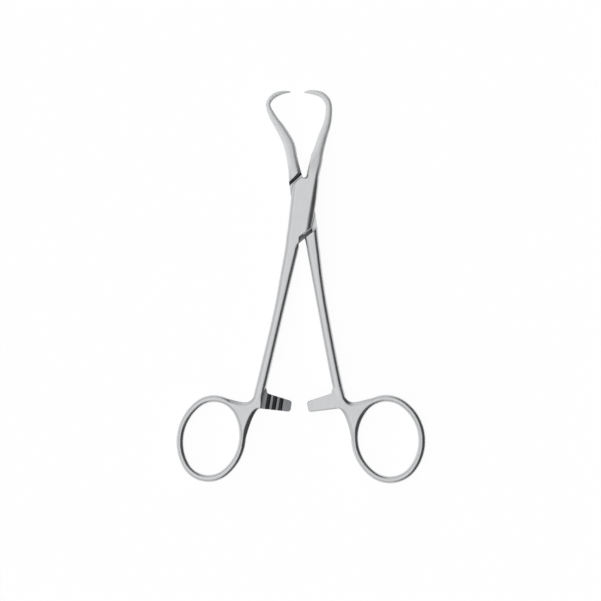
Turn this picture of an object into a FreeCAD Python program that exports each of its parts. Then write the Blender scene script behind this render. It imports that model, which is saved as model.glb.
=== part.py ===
import FreeCAD, Part
import math
import os

# A ring-handled towel clamp with a box lock, lying flat and a little open. Sizes are in millimetres.
# The origin is on the pin's axis, in the plane that the underside of the box rests on.
# +Y points to the tips of the jaws, +X to the right and +Z up, square to the faces of the lock.

# Box lock
BOX_LENGTH = 20.4
BOX_THICKNESS = 5.6
BOX_WALL = 1.55
BOX_WIDTH = 8.7
TENON_WIDTH = 7.3
TENON_PLAY = 0.05
SLOT_RADIUS = 11.0
HEEL_SLOT_RADIUS = 13.2
EDGE_RADIUS = 1.45
EDGE_SHARE = 0.42
PIN_RADIUS = 1.6
PIN_PLAY = 0.04

# Edges of the box plates, where the other arm steps down to its tenon: distance from the pin, slope
UPPER_EDGE_REACH = 8.4
UPPER_EDGE_SLOPE = 42.5
LOWER_EDGE_REACH = 7.7
LOWER_EDGE_SLOPE = 40.0

# Shoulders of the tenon: distance from the pin, slope
UPPER_SHOULDER_REACH = 8.85
UPPER_SHOULDER_SLOPE = 48.0
LOWER_SHOULDER_REACH = 9.0
LOWER_SHOULDER_SLOPE = 36.5

# Heel of the tenon, which shows in the crotch below the box: how far from the pin it reaches and starts
HEEL_REACH = 8.75
HEEL_LEFT = 1.6
HEEL_RIGHT = 1.8
HEEL_TOP = 5.4

# Bevel along the right edge of the box's front: its width beside the pin, the way it runs, how steeply it
# falls away and how far it runs up and down from the pin
BEVEL_WIDTH = 2.05
BEVEL_HEADING = 80.5
BEVEL_FALL = 20.0
BEVEL_UP = 20.0
BEVEL_DOWN = 12.0

# Crotches of the box arm, where the other arm's jaw and shank come in
JAW_CROTCH_X = 0.7
JAW_CROTCH_Y = 10.4
JAW_CROTCH_SLOPE = 73.0
SHANK_CROTCH_X = -0.85
SHANK_CROTCH_SLOPE = 82.0
CROTCH_LENGTH = 7.6
CROTCH_RADIUS = 0.7

# Jaws and shanks. The points are at the jaws' length from the pin, and the ratchet's tips at its reach.
JAW_LENGTH = 39.0
JAW_ROOT_WIDTH = 4.0
JAW_ROOT_THICKNESS = 4.6
RATCHET_REACH = 68.25
SHANK_WIDTH = 3.5
SHANK_THICKNESS = 3.5
STATION_SPACING = 8.0
STATION_TURN = 16.0

# Finger rings: the middle of each is out and down from the end of its shank, and it leans in at the top
RING_BAND_WIDTH = 2.5
RING_BAND_THICKNESS = 3.0
RING_BAND_SIDES = 12
RING_END_ROUNDNESS = 0.84
BOX_RING_OUT = 15.75
BOX_RING_DOWN = 12.9
BOX_RING_LEAN = 11.5
BOX_RING_HOLE_WIDTH = 18.7
BOX_RING_HOLE_LENGTH = 24.9
TENON_RING_OUT = 16.05
TENON_RING_DOWN = 13.1
TENON_RING_LEAN = 8.0
TENON_RING_HOLE_WIDTH = 20.4
TENON_RING_HOLE_LENGTH = 25.4

# Webs between the shanks, the rings and the ratchet bars
WEB_THICKNESS = 2.6
WEB_EDGE_CHAMFER = 0.7
WEB_RISE = 5.0
WEB_LAP = 92.0
WEB_INSET = 0.5
WEB_CROWN_PULL = 0.64
WEB_FLANK_PULL = 0.5
WEB_BAR_PULL = 0.15

# Ratchet bars. A step in the shank stands this far out from its middle line and laps the bar's edges.
BAR_THICKNESS = 1.6
BAR_ROOT_WIDTH = 5.1
BAR_TIP_WIDTH = 3.6
BAR_CORNER_RADIUS = 0.9
BAR_CROTCH_RADIUS = 1.6
BAR_EDGE_RADIUS = 0.5
BAR_PLAY = 0.05
BAR_STEP = 1.25
BAR_STEP_LAP = 1.2
BOX_BAR_LENGTH = 11.5
TENON_BAR_LENGTH = 11.4
TOOTH_COUNT = 3
TOOTH_PITCH = 2.2
TOOTH_RAMP = 1.4
TOOTH_DEPTH = 0.65
TIP_LAND = 2.8

MIDDLE = BOX_THICKNESS / 2
TENON_THICKNESS = BOX_THICKNESS - 2 * (BOX_WALL + TENON_PLAY)
CUT_MARGIN = 1.0
CUT_SPAN = 12.0
LEFT = -1
RIGHT = 1

# Sections of each arm from its point to its ring: x, y, heading, width, thickness. The heading is the way
# the arm runs towards its point there, in degrees from +X. The other columns are fractions: of the jaw's
# length, root width and root thickness, of the box's length, width and thickness, and of the ratchet's
# reach and the shank's section.
BOX_JAW = [
    (0.0115, 0.9987, 178, 0.125, 0.11),
    (0.0615, 1.0013, 180, 0.34, 0.30),
    (0.1462, 0.9846, 157, 0.49, 0.43),
    (0.2, 0.9436, 128, 0.55, 0.50),
    (0.2269, 0.8769, 101, 0.56, 0.54),
    (0.2154, 0.7385, 76, 0.65, 0.63),
    (0.1718, 0.6038, 72.5, 0.79, 0.76),
    (0.1321, 0.4679, 75, 0.93, 0.91),
    (0.1077, 0.4, 78, 1.225, 1.0),
    (0.0769, 0.3333, 86, 1.55, 1.15),
]
BOX_BLOCK = [
    (0.0784, 0.5, 90, 0.9, 1.0),
    (0.0466, 0.3676, 90, 1.0, 1.0),
    (0.0, 0.0, 90, 1.0, 1.0),
    (-0.0662, -0.3676, 90, 0.88, 1.0),
    (-0.1127, -0.5, 90, 0.75, 1.0),
]
BOX_SHANK = [
    (-0.0498, -0.189, 80, 1.41, 1.49),
    (-0.0608, -0.2403, 78, 1.29, 1.31),
    (-0.0842, -0.3516, 77.5, 1.17, 1.17),
    (-0.1194, -0.5201, 77.5, 1.0, 1.06),
    (-0.1978, -0.8542, 77, 1.0, 1.0),
    (-0.2264, -0.97, 77, 1.0, 0.87),
]
TENON_JAW = [
    (-0.1077, 1.0026, 9, 0.125, 0.11),
    (-0.1821, 0.9949, 15, 0.33, 0.28),
    (-0.2487, 0.9692, 28, 0.45, 0.41),
    (-0.291, 0.9256, 58, 0.42, 0.48),
    (-0.3038, 0.8821, 90, 0.42, 0.50),
    (-0.2641, 0.7872, 121, 0.60, 0.57),
    (-0.1859, 0.6667, 118, 0.81, 0.70),
    (-0.1218, 0.541, 106, 0.97, 0.85),
    (-0.091, 0.4026, 98.5, 0.94, 1.0),
    (-0.0705, 0.2949, 96, 1.075, 1.17),
]
TENON_BLOCK = [
    (-0.1078, 0.4167, 95, 0.7, 1.0),
    (-0.049, 0.2353, 96, 0.88, 1.0),
    (0.0074, 0.0, 98, 1.0, 1.0),
    (0.0637, -0.2353, 98, 0.89, 1.0),
    (0.1225, -0.4167, 97, 0.7, 1.0),
]
TENON_SHANK = [
    (0.0454, -0.17, 98, 1.29, 1.54),
    (0.0557, -0.2403, 98.5, 1.23, 1.31),
    (0.0725, -0.3516, 99, 1.09, 1.17),
    (0.1011, -0.5201, 100, 1.0, 1.06),
    (0.1641, -0.8542, 101.5, 1.0, 1.0),
    (0.1912, -0.97, 103, 1.0, 0.87),
]


def point(x, y, z=MIDDLE):
    return FreeCAD.Vector(x, y, z)


def direction(angle):
    return FreeCAD.Vector(math.cos(math.radians(angle)), math.sin(math.radians(angle)), 0)


# A rounded rectangle across an arm. Near the points its corner radius is a share of its smaller side.
def section(x, y, heading, width, thickness):
    radius = min(EDGE_RADIUS, EDGE_SHARE * width, EDGE_SHARE * thickness)
    across = direction(heading + 90)
    up = FreeCAD.Vector(0, 0, 1)
    arcs = []
    for start, finish in [(across, up), (up, -across), (-across, -up), (-up, across)]:
        wide, high = (start, finish) if start.z == 0 else (finish, start)
        hub = point(x, y) + wide * (width / 2 - radius) + high * (thickness / 2 - radius)
        halfway = (start + finish) * (radius * math.sqrt(0.5))
        arcs.append((hub + start * radius, hub + halfway, hub + finish * radius))
    edges = []
    for arc, following in zip(arcs, arcs[1:] + arcs[:1]):
        edges.append(Part.Arc(*arc).toShape())
        edges.append(Part.LineSegment(arc[2], following[0]).toShape())
    return Part.Wire(edges)


# Fills in between the given sections, closer together where the arm bends, with smooth changes along it.
def stations(rows):
    lengths = [0.0]
    for last, following in zip(rows, rows[1:]):
        lengths.append(lengths[-1] + math.hypot(following[0] - last[0], following[1] - last[1]))
    slopes = []
    for i in range(len(rows)):
        low = max(i - 1, 0)
        high = min(i + 1, len(rows) - 1)
        slopes.append([(b - a) / (lengths[high] - lengths[low]) for a, b in zip(rows[low], rows[high])])
    filled = []
    for i in range(len(rows) - 1):
        gap = lengths[i + 1] - lengths[i]
        turn = abs(rows[i + 1][2] - rows[i][2])
        steps = max(math.ceil(gap / STATION_SPACING), math.ceil(turn / STATION_TURN))
        for step in range(steps):
            t = step / steps
            columns = zip(rows[i], rows[i + 1], slopes[i], slopes[i + 1])
            filled.append([hermite(t, a, b, m * gap, n * gap) for a, b, m, n in columns])
    return filled + [rows[-1]]


def hermite(t, start, finish, start_slope, finish_slope):
    rise = t * t * (3 - 2 * t)
    return start + (finish - start) * rise + start_slope * t * (1 - t) ** 2 - finish_slope * t * t * (1 - t)


def sized(table, length, width, thickness):
    return [(length * x, length * y, heading, width * w, thickness * t) for x, y, heading, w, t in table]


# The jaw, the block of the lock and the shank, each lofted along its part of the arm.
def arm_blank(jaw_table, block_table, block_width, shank_table):
    jaw = sized(jaw_table, JAW_LENGTH, JAW_ROOT_WIDTH, JAW_ROOT_THICKNESS)
    block = sized(block_table, BOX_LENGTH, block_width, BOX_THICKNESS)
    shank = sized(shank_table, RATCHET_REACH, SHANK_WIDTH, SHANK_THICKNESS)
    runs = [jaw + block[:1], block, block[-1:] + shank]
    return [Part.makeLoft([section(*row) for row in stations(run)], True, True) for run in runs]


# A closed plan outline through corners (x, y, radius). A radius above zero rounds its corner.
def outline(corners, level):
    places = [point(x, y, level) for x, y, radius in corners]
    bends = []
    for i, corner in enumerate(corners):
        here = places[i]
        radius = corner[2]
        to_last = (places[i - 1] - here).normalize()
        to_next = (places[(i + 1) % len(places)] - here).normalize()
        half_angle = to_last.getAngle(to_next) / 2
        trim = radius / math.tan(half_angle)
        nearest = radius / math.sin(half_angle) - radius
        inward = (to_last + to_next).normalize()
        bends.append((here + to_last * trim, here + inward * nearest, here + to_next * trim, radius))
    edges = []
    for bend, following in zip(bends, bends[1:] + bends[:1]):
        if bend[3] > 0:
            edges.append(Part.Arc(*bend[:3]).toShape())
        edges.append(Part.LineSegment(bend[2], following[0]).toShape())
    return Part.Wire(edges)


def prism(corners, low, high):
    face = Part.Face(outline(corners, low))
    return face.extrude(FreeCAD.Vector(0, 0, high - low))


# A point at x on a line with a given slope, which passes above or below the pin at a given distance.
def on_line(reach, slope, x):
    tilt = math.radians(slope)
    return (x, (reach + x * math.sin(tilt)) / math.cos(tilt))


def upper_edge(x):
    return on_line(UPPER_EDGE_REACH, UPPER_EDGE_SLOPE, x)


def lower_edge(x):
    return on_line(-LOWER_EDGE_REACH, LOWER_EDGE_SLOPE, x)


def upper_shoulder(x):
    return on_line(UPPER_SHOULDER_REACH, UPPER_SHOULDER_SLOPE, x)


def lower_shoulder(x):
    return on_line(-LOWER_SHOULDER_REACH, LOWER_SHOULDER_SLOPE, x)


# Room for the other arm's jaw: along the plate's upper edge, across the crotch and up inside the jaw.
def jaw_crotch_room():
    tilt = math.radians(UPPER_EDGE_SLOPE)
    floor_x = (JAW_CROTCH_Y * math.cos(tilt) - UPPER_EDGE_REACH) / math.sin(tilt)
    side = direction(JAW_CROTCH_SLOPE) * CROTCH_LENGTH
    corners = [
        (*upper_edge(-CUT_SPAN), 0),
        (floor_x, JAW_CROTCH_Y, 0),
        (JAW_CROTCH_X, JAW_CROTCH_Y, CROTCH_RADIUS),
        (JAW_CROTCH_X + side.x, JAW_CROTCH_Y + side.y, 0),
        (-CUT_SPAN, JAW_CROTCH_Y + side.y, 0),
    ]
    return prism(corners, -CUT_MARGIN, BOX_THICKNESS + CUT_MARGIN)


# Room for the other arm's shank: along the plate's lower edge and down the inside of the shank.
def shank_crotch_room():
    corner_x, corner_y = lower_edge(SHANK_CROTCH_X)
    side = direction(SHANK_CROTCH_SLOPE) * -(CROTCH_LENGTH / 2)
    corners = [
        (*lower_edge(CUT_SPAN), 0),
        (corner_x, corner_y, CROTCH_RADIUS / 2),
        (corner_x + side.x, corner_y + side.y, 0),
        (CUT_SPAN, corner_y + side.y, 0),
    ]
    return prism(corners, -CUT_MARGIN, BOX_THICKNESS + CUT_MARGIN)


# What is ground off the box's front along its right edge. The bevel runs out where the arm gets thinner.
def front_bevel():
    along = direction(BEVEL_HEADING)
    outward = direction(BEVEL_HEADING - 90) * CUT_SPAN
    foot = point(BOX_WIDTH / 2 - BEVEL_WIDTH, 0, BOX_THICKNESS) - along * BEVEL_DOWN
    top = FreeCAD.Vector(0, 0, CUT_MARGIN)
    fall = FreeCAD.Vector(0, 0, CUT_SPAN * math.tan(math.radians(BEVEL_FALL)))
    corners = [foot, foot + outward - fall, foot + outward + top, foot + top]
    return Part.Face(Part.makePolygon(corners + corners[:1])).extrude(along * (BEVEL_DOWN + BEVEL_UP))


# What is milled off the front and the back of the tenon, between its shoulders.
def tenon_cheeks():
    corners = [
        (*upper_shoulder(-CUT_SPAN), 0),
        (*upper_shoulder(CUT_SPAN), 0),
        (*lower_shoulder(CUT_SPAN), 0),
        (*lower_shoulder(-CUT_SPAN), 0),
    ]
    half = TENON_THICKNESS / 2
    back = prism(corners, -CUT_MARGIN, MIDDLE - half)
    front = prism(corners, MIDDLE + half, BOX_THICKNESS + CUT_MARGIN)
    return [back, front]


# The heel, as thick as the tenon that it is part of.
def tenon_heel():
    left = on_line(-HEEL_REACH, LOWER_EDGE_SLOPE, -HEEL_LEFT)
    right = on_line(-HEEL_REACH, LOWER_EDGE_SLOPE, HEEL_RIGHT)
    corners = [(*left, 0), (*right, 0), (HEEL_RIGHT, -HEEL_TOP, 0), (-HEEL_LEFT, -HEEL_TOP, 0)]
    half = TENON_THICKNESS / 2
    return prism(corners, MIDDLE - half, MIDDLE + half)


# The slot through the box. Below the pin it is deeper, and leaves room for the heel to turn.
def tenon_slot():
    height = TENON_THICKNESS + 2 * TENON_PLAY
    floor = point(0, 0, MIDDLE - height / 2)
    lower_half = Part.makeCylinder(HEEL_SLOT_RADIUS, height, floor, FreeCAD.Vector(0, 0, 1), 180)
    lower_half.rotate(floor, FreeCAD.Vector(0, 0, 1), 180)
    return [Part.makeCylinder(SLOT_RADIUS, height, floor), lower_half]


# An oval about the ring's hole, larger than it by growth. Parameter 0 is its top and it runs anticlockwise.
def ring_oval(ring, growth):
    hub, lean, width, length = ring
    top = hub + direction(90 - lean) * ((length + growth) / 2)
    flank = hub + direction(180 - lean) * ((width + growth) / 2)
    return Part.Ellipse(top, flank, hub)


# A band of many-sided oval section, turned along four arcs: tight at the ends, slack at the flanks.
def finger_ring(ring):
    hub, lean, hole_width, hole_length = ring
    along = direction(90 - lean)
    across = direction(-lean)
    half_width = (hole_width + RING_BAND_WIDTH) / 2
    half_length = (hole_length + RING_BAND_WIDTH) / 2
    tight = RING_END_ROUNDNESS * half_width
    slack = (half_width ** 2 + half_length ** 2 - 2 * half_length * tight) / (2 * (half_width - tight))
    half_turn = math.degrees(math.atan2(slack - half_width, half_length - tight))
    quarters = [
        (hub + along * (half_length - tight), tight, 90 - lean, half_turn),
        (hub + across * (slack - half_width), slack, 180 - lean, 90 - half_turn),
        (hub - along * (half_length - tight), tight, 270 - lean, half_turn),
        (hub - across * (slack - half_width), slack, -lean, 90 - half_turn),
    ]
    pieces = []
    for centre, radius, heading, reach in quarters:
        band = band_section(centre + direction(heading - reach) * radius, heading - reach)
        pieces.append(band.revolve(centre, FreeCAD.Vector(0, 0, 1), 2 * reach))
    return pieces[0].fuse(pieces[1:])


def band_section(place, heading):
    outward = direction(heading) * (RING_BAND_WIDTH / 2)
    upward = FreeCAD.Vector(0, 0, RING_BAND_THICKNESS / 2)
    corners = []
    for side in range(RING_BAND_SIDES):
        angle = 2 * math.pi * (side + 0.5) / RING_BAND_SIDES
        corners.append(place + outward * math.cos(angle) + upward * math.sin(angle))
    return Part.Face(Part.makePolygon(corners + corners[:1]))


# The end of a shank, where its bar, web and ring join it: its middle, the way up it, the way to its
# inner side.
def shank_end(shank_table, side):
    x, y, heading = shank_table[-1][:3]
    return point(RATCHET_REACH * x, RATCHET_REACH * y), direction(heading), direction(heading + side * 90)


def crossing(place, way, other_place, other_way):
    gap = other_place - place
    turn = way.x * other_way.y - way.y * other_way.x
    run = (gap.x * other_way.y - gap.y * other_way.x) / turn
    return place + way * run


# The bar's frame in plan: its tip, at the ratchet's reach from the pin, and the ways from there in to the
# shank and down towards the rings.
def bar_frame(end, length, side):
    half_chord = math.asin(length / (2 * end.distanceToPoint(point(0, 0))))
    spread = math.atan2(end.x, -end.y) - side * 2 * half_chord
    tip = point(math.sin(spread) * RATCHET_REACH, -math.cos(spread) * RATCHET_REACH)
    inward = (end - tip).normalize()
    return tip, inward, FreeCAD.Vector(inward.y, -inward.x, 0) * side


# The bar's lower edge in plan, from its tip to the end of the shank.
def bar_lower_edge(end, frame):
    tip, inward, down = frame
    return tip + down * (BAR_TIP_WIDTH / 2), end + down * (BAR_ROOT_WIDTH / 2)


def ratchet_bar(shank, length, side):
    end, up_shank, inner = shank
    frame = bar_frame(end, length, side)
    tip, inward, down = frame
    low_tip, low_root = bar_lower_edge(end, frame)
    high_tip = tip - down * (BAR_TIP_WIDTH / 2)
    high_root = end - down * (BAR_ROOT_WIDTH / 2)
    edge = end + inner * (SHANK_WIDTH / 2)
    crotch = crossing(high_tip, high_root - high_tip, edge, up_shank)
    above = end + up_shank * WEB_RISE
    above_edge = edge + up_shank * WEB_RISE
    corners = [
        (low_root.x, low_root.y, 0),
        (low_tip.x, low_tip.y, BAR_CORNER_RADIUS),
        (high_tip.x, high_tip.y, BAR_CORNER_RADIUS),
        (crotch.x, crotch.y, BAR_CROTCH_RADIUS),
        (above_edge.x, above_edge.y, 0),
        (above.x, above.y, 0),
    ]
    crest = MIDDLE + side * BAR_PLAY
    back = crest + side * BAR_THICKNESS
    bar = prism(corners, min(crest, back), max(crest, back))
    back_face = max(bar.Faces, key=lambda face: side * face.CenterOfMass.z)
    return bar.makeFillet(BAR_EDGE_RADIUS, back_face.Edges).cut(tooth_gaps(frame, side))


# The gaps between the teeth. Each has an upright wall towards the bar's tip and a ramp towards the shank,
# so that two bars ride over each other when the rings close and hold when they pull apart.
def tooth_gaps(frame, side):
    tip, inward, down = frame
    crest = MIDDLE + side * BAR_PLAY
    root = crest + side * TOOTH_DEPTH
    clear = crest - side * CUT_MARGIN
    gaps = []
    for i in range(TOOTH_COUNT):
        wall = TIP_LAND + i * TOOTH_PITCH
        profile = [(wall, root), (wall + TOOTH_RAMP, crest), (wall + TOOTH_RAMP, clear), (wall, clear)]
        places = [tip + inward * along - down * BAR_ROOT_WIDTH for along, height in profile]
        corners = [point(p.x, p.y, height) for p, (along, height) in zip(places, profile)]
        face = Part.Face(Part.makePolygon(corners + corners[:1]))
        gaps.append(face.extrude(down * (2 * BAR_ROOT_WIDTH)))
    return gaps


# What is milled off a shank beside its bar, down to the toothed face.
def bar_step(shank, length, side):
    frame = bar_frame(shank[0], length, side)
    tip, inward, down = frame
    across = down * (BAR_ROOT_WIDTH / 2 + BAR_STEP_LAP)
    far = tip + inward * (length - BAR_STEP)
    near = tip - inward * CUT_MARGIN
    corners = [(p.x, p.y, 0) for p in (near - across, near + across, far + across, far - across)]
    crest = MIDDLE + side * BAR_PLAY
    clear = MIDDLE - side * (MIDDLE + CUT_MARGIN)
    return prism(corners, min(crest, clear), max(crest, clear))


def bezier(*poles):
    curve = Part.BezierCurve()
    curve.setPoles(list(poles))
    return curve.toShape()


# The flat web between the shank, the ring and the bar. Its two free edges are concave: one leaves the
# shank and runs out along the top of the ring, the other leaves the bar and runs down the ring's flank.
def web(shank, ring, bar_length, side):
    end, up_shank, inner = shank
    outer = ring_oval(ring, 2 * (RING_BAND_WIDTH - WEB_INSET))
    middle = ring_oval(ring, RING_BAND_WIDTH)
    low_tip, low_root = bar_lower_edge(end, bar_frame(end, bar_length, side))
    along_bar = (low_root - low_tip).normalize()
    lap = side * math.radians(WEB_LAP)
    shoulder = end + up_shank * WEB_RISE - inner * (SHANK_WIDTH / 2)
    crown = outer.value(0)
    crown_way = outer.tangent(0)[0] * side
    flank = outer.value(lap)
    flank_way = outer.tangent(lap)[0] * -side
    root = crossing(low_tip, along_bar, end + inner * (SHANK_WIDTH / 2), up_shank)
    upper_pull = WEB_CROWN_PULL * shoulder.distanceToPoint(crown)
    flank_pull = WEB_FLANK_PULL * root.distanceToPoint(flank)
    bar_pull = WEB_BAR_PULL * root.distanceToPoint(flank)
    edges = [
        bezier(shoulder, shoulder - up_shank * upper_pull, crown + crown_way * upper_pull, crown),
        Part.LineSegment(crown, middle.value(0)).toShape(),
        Part.ArcOfEllipse(middle, min(0, lap), max(0, lap)).toShape(),
        Part.LineSegment(middle.value(lap), flank).toShape(),
        bezier(flank, flank + flank_way * flank_pull, root + along_bar * bar_pull, root),
        Part.LineSegment(root, end).toShape(),
        Part.LineSegment(end, shoulder).toShape(),
    ]
    rim = Part.Wire(Part.__sortEdges__(edges))
    rim.translate(FreeCAD.Vector(0, 0, -WEB_THICKNESS / 2))
    plate = Part.Face(rim).extrude(FreeCAD.Vector(0, 0, WEB_THICKNESS))
    free = [e for e in plate.Edges if isinstance(e.Curve, Part.BezierCurve)]
    return plate.makeChamfer(WEB_EDGE_CHAMFER, free)


def forging(blank, shank, ring, bar_length, side):
    jaw, block, rod = blank
    added = [finger_ring(ring), web(shank, ring, bar_length, side), ratchet_bar(shank, bar_length, side)]
    return block.fuse([jaw, rod] + added)


def bore(radius):
    depth = BOX_THICKNESS + 2 * CUT_MARGIN
    return Part.makeCylinder(radius, depth, point(0, 0, -CUT_MARGIN))


def box_arm():
    blank = arm_blank(BOX_JAW, BOX_BLOCK, BOX_WIDTH, BOX_SHANK)
    shank = shank_end(BOX_SHANK, LEFT)
    centre = shank[0] + point(-BOX_RING_OUT, -BOX_RING_DOWN, 0)
    ring = (centre, BOX_RING_LEAN, BOX_RING_HOLE_WIDTH, BOX_RING_HOLE_LENGTH)
    body = forging(blank, shank, ring, BOX_BAR_LENGTH, LEFT)
    rooms = [jaw_crotch_room(), shank_crotch_room(), bar_step(shank, BOX_BAR_LENGTH, LEFT)]
    return body.cut(rooms + tenon_slot() + [front_bevel(), bore(PIN_RADIUS)])


def tenon_arm():
    blank = arm_blank(TENON_JAW, TENON_BLOCK, TENON_WIDTH, TENON_SHANK)
    shank = shank_end(TENON_SHANK, RIGHT)
    centre = shank[0] + point(TENON_RING_OUT, -TENON_RING_DOWN, 0)
    ring = (centre, -TENON_RING_LEAN, TENON_RING_HOLE_WIDTH, TENON_RING_HOLE_LENGTH)
    body = forging(blank, shank, ring, TENON_BAR_LENGTH, RIGHT)
    body = body.cut(tenon_cheeks() + [bar_step(shank, TENON_BAR_LENGTH, RIGHT)])
    return body.fuse(tenon_heel()).cut(bore(PIN_RADIUS + PIN_PLAY))


def pivot_pin():
    return Part.makeCylinder(PIN_RADIUS, BOX_THICKNESS)


os.makedirs("parts", exist_ok=True)
for name, build in {"box_arm": box_arm, "tenon_arm": tenon_arm, "pivot_pin": pivot_pin}.items():
    shape = build()
    print(name, len(shape.Solids), "solid", shape.isValid(), round(shape.Volume, 1), "cubic mm")
    solid = shape.Solids[0] if len(shape.Solids) == 1 else shape
    solid.exportStep(f"parts/{name}.step")
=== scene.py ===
import math

import bmesh
import bpy
import numpy as np
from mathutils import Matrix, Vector


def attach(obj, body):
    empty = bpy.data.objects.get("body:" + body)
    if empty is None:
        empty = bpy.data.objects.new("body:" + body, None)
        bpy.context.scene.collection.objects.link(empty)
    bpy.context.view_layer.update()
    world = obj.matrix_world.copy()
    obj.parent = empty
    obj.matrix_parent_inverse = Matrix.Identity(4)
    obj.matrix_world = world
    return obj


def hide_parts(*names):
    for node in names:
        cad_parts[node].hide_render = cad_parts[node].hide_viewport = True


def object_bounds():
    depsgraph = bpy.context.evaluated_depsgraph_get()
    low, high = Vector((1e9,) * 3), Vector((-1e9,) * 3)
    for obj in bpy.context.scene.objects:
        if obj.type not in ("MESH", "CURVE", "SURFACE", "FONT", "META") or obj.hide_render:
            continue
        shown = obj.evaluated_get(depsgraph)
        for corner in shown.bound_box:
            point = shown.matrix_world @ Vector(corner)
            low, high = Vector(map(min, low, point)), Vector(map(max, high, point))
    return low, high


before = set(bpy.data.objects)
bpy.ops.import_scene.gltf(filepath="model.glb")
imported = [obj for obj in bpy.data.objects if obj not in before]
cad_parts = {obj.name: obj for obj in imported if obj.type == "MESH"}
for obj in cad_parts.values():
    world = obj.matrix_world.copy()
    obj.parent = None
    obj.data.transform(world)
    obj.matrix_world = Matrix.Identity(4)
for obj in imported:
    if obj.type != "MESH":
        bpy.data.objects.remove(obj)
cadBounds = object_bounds()
print("frame loaded:", sorted(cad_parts))

mm = 0.001  # lengths below are in millimetres and become metres when a mesh is made
up = Vector((0, 0, 1))
leftSide = -1
rightSide = 1

# The lock: what is milled out of the two forgings, as in the solids.
lock = {
    "boxLength": 20.4,
    "boxThickness": 5.6,
    "boxWall": 1.55,
    "boxWidth": 8.7,
    "tenonWidth": 7.3,
    "play": 0.05,
    "slotRadius": 11.0,
    "heelSlotRadius": 13.2,
    "slotSides": 180,
    "pinRadius": 1.6,
    "pinPlay": 0.04,
    "upperEdge": (8.4, 42.5),  # distance from the pin, slope in degrees
    "lowerEdge": (-7.7, 40.0),
    "upperShoulder": (8.85, 48.0),
    "lowerShoulder": (-9.0, 36.5),
    "shoulderLean": (0.25, 0.1),  # towards the pin at the tenon's face, away from it outside
    "heelReach": -8.75,  # distance of its lower edge from the pin
    "heelLeft": -1.6,
    "heelRight": 1.8,
    "heelTop": -5.4,
    "bevelWidth": 2.05,
    "bevelHeading": 80.5,  # degrees in plan
    "bevelFall": (5.0, 34.0),  # the bevel rolls over from the first slope to the second
    "bevelSteps": 10,
    "bevelRise": 20.0,  # how far it runs above the pin
    "bevelDrop": 12.0,  # and below
    "jawCrotch": (0.7, 10.4),  # its corner in plan
    "jawCrotchSlope": 73.0,
    "shankCrotchX": -0.85,
    "shankCrotchSlope": 82.0,
    "crotchLength": 7.6,
    "crotchRadius": 0.7,
    "crotchDraft": 0.9,  # how much wider the jaws' crotch is at the front
    "pinSides": 96,
}
middle = lock["boxThickness"] / 2
tenonHalf = middle - lock["boxWall"] - lock["play"]

# The forgings. Each row of an arm is x, y, heading, width, thickness: the heading in degrees, the
# rest as shares of the lengths here and in the lock.
forging = {
    "jawLength": 39.0,
    "jawRootWidth": 4.0,
    "jawRootThickness": 4.6,
    "ratchetReach": 68.25,
    "shankWidth": 3.5,
    "shankThickness": 3.5,
    "edgeRadius": 1.45,
    "edgeShare": 0.42,  # no edge is rounder than this share of its section
    "stationSpacing": 0.8,
    "stationTurn": 4.0,  # degrees
    "voxel": 0.18,
    "smoothRounds": 20,
    "skinPulls": (0.5, -0.52),  # each round of smoothing pulls the skin in, then out again
    "pointLength": 3.0,  # the points are smoothed less over this length
    "pointSmoothing": 0.4,
}
boxArm = {
    "side": leftSide,
    "blockWidth": lock["boxWidth"],
    "jaw": [
        (0.0115, 0.9987, 178, 0.125, 0.11),
        (0.0615, 1.0013, 180, 0.34, 0.30),
        (0.1462, 0.9846, 157, 0.49, 0.43),
        (0.2, 0.9436, 128, 0.55, 0.50),
        (0.2269, 0.8769, 101, 0.56, 0.54),
        (0.2154, 0.7385, 76, 0.65, 0.63),
        (0.1718, 0.6038, 72.5, 0.79, 0.76),
        (0.1321, 0.4679, 75, 0.93, 0.91),
        (0.1077, 0.4, 78, 1.225, 1.0),
        (0.0769, 0.3333, 86, 1.55, 1.15),
    ],
    "block": [
        (0.0784, 0.5, 90, 0.9, 1.0),
        (0.0466, 0.3676, 90, 1.0, 1.0),
        (0.0, 0.0, 90, 1.0, 1.0),
        (-0.055, -0.3676, 90, 0.93, 1.0),
        (-0.1045, -0.5, 90, 0.8, 1.0),
    ],
    "shank": [
        (-0.0498, -0.189, 80, 1.41, 1.49),
        (-0.0608, -0.2403, 78, 1.29, 1.31),
        (-0.0842, -0.3516, 77.5, 1.17, 1.17),
        (-0.1194, -0.5201, 77.5, 1.0, 1.06),
        (-0.1978, -0.8542, 77, 1.0, 1.0),
        (-0.2264, -0.97, 77, 1.0, 0.87),
    ],
    "ringOut": 15.75,  # from the shank's end to the middle of the ring
    "ringDown": 12.9,
    "ringLean": 11.5,  # degrees
    "ringHole": (18.7, 24.9),  # width, length
    "barLength": 11.5,
}
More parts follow.
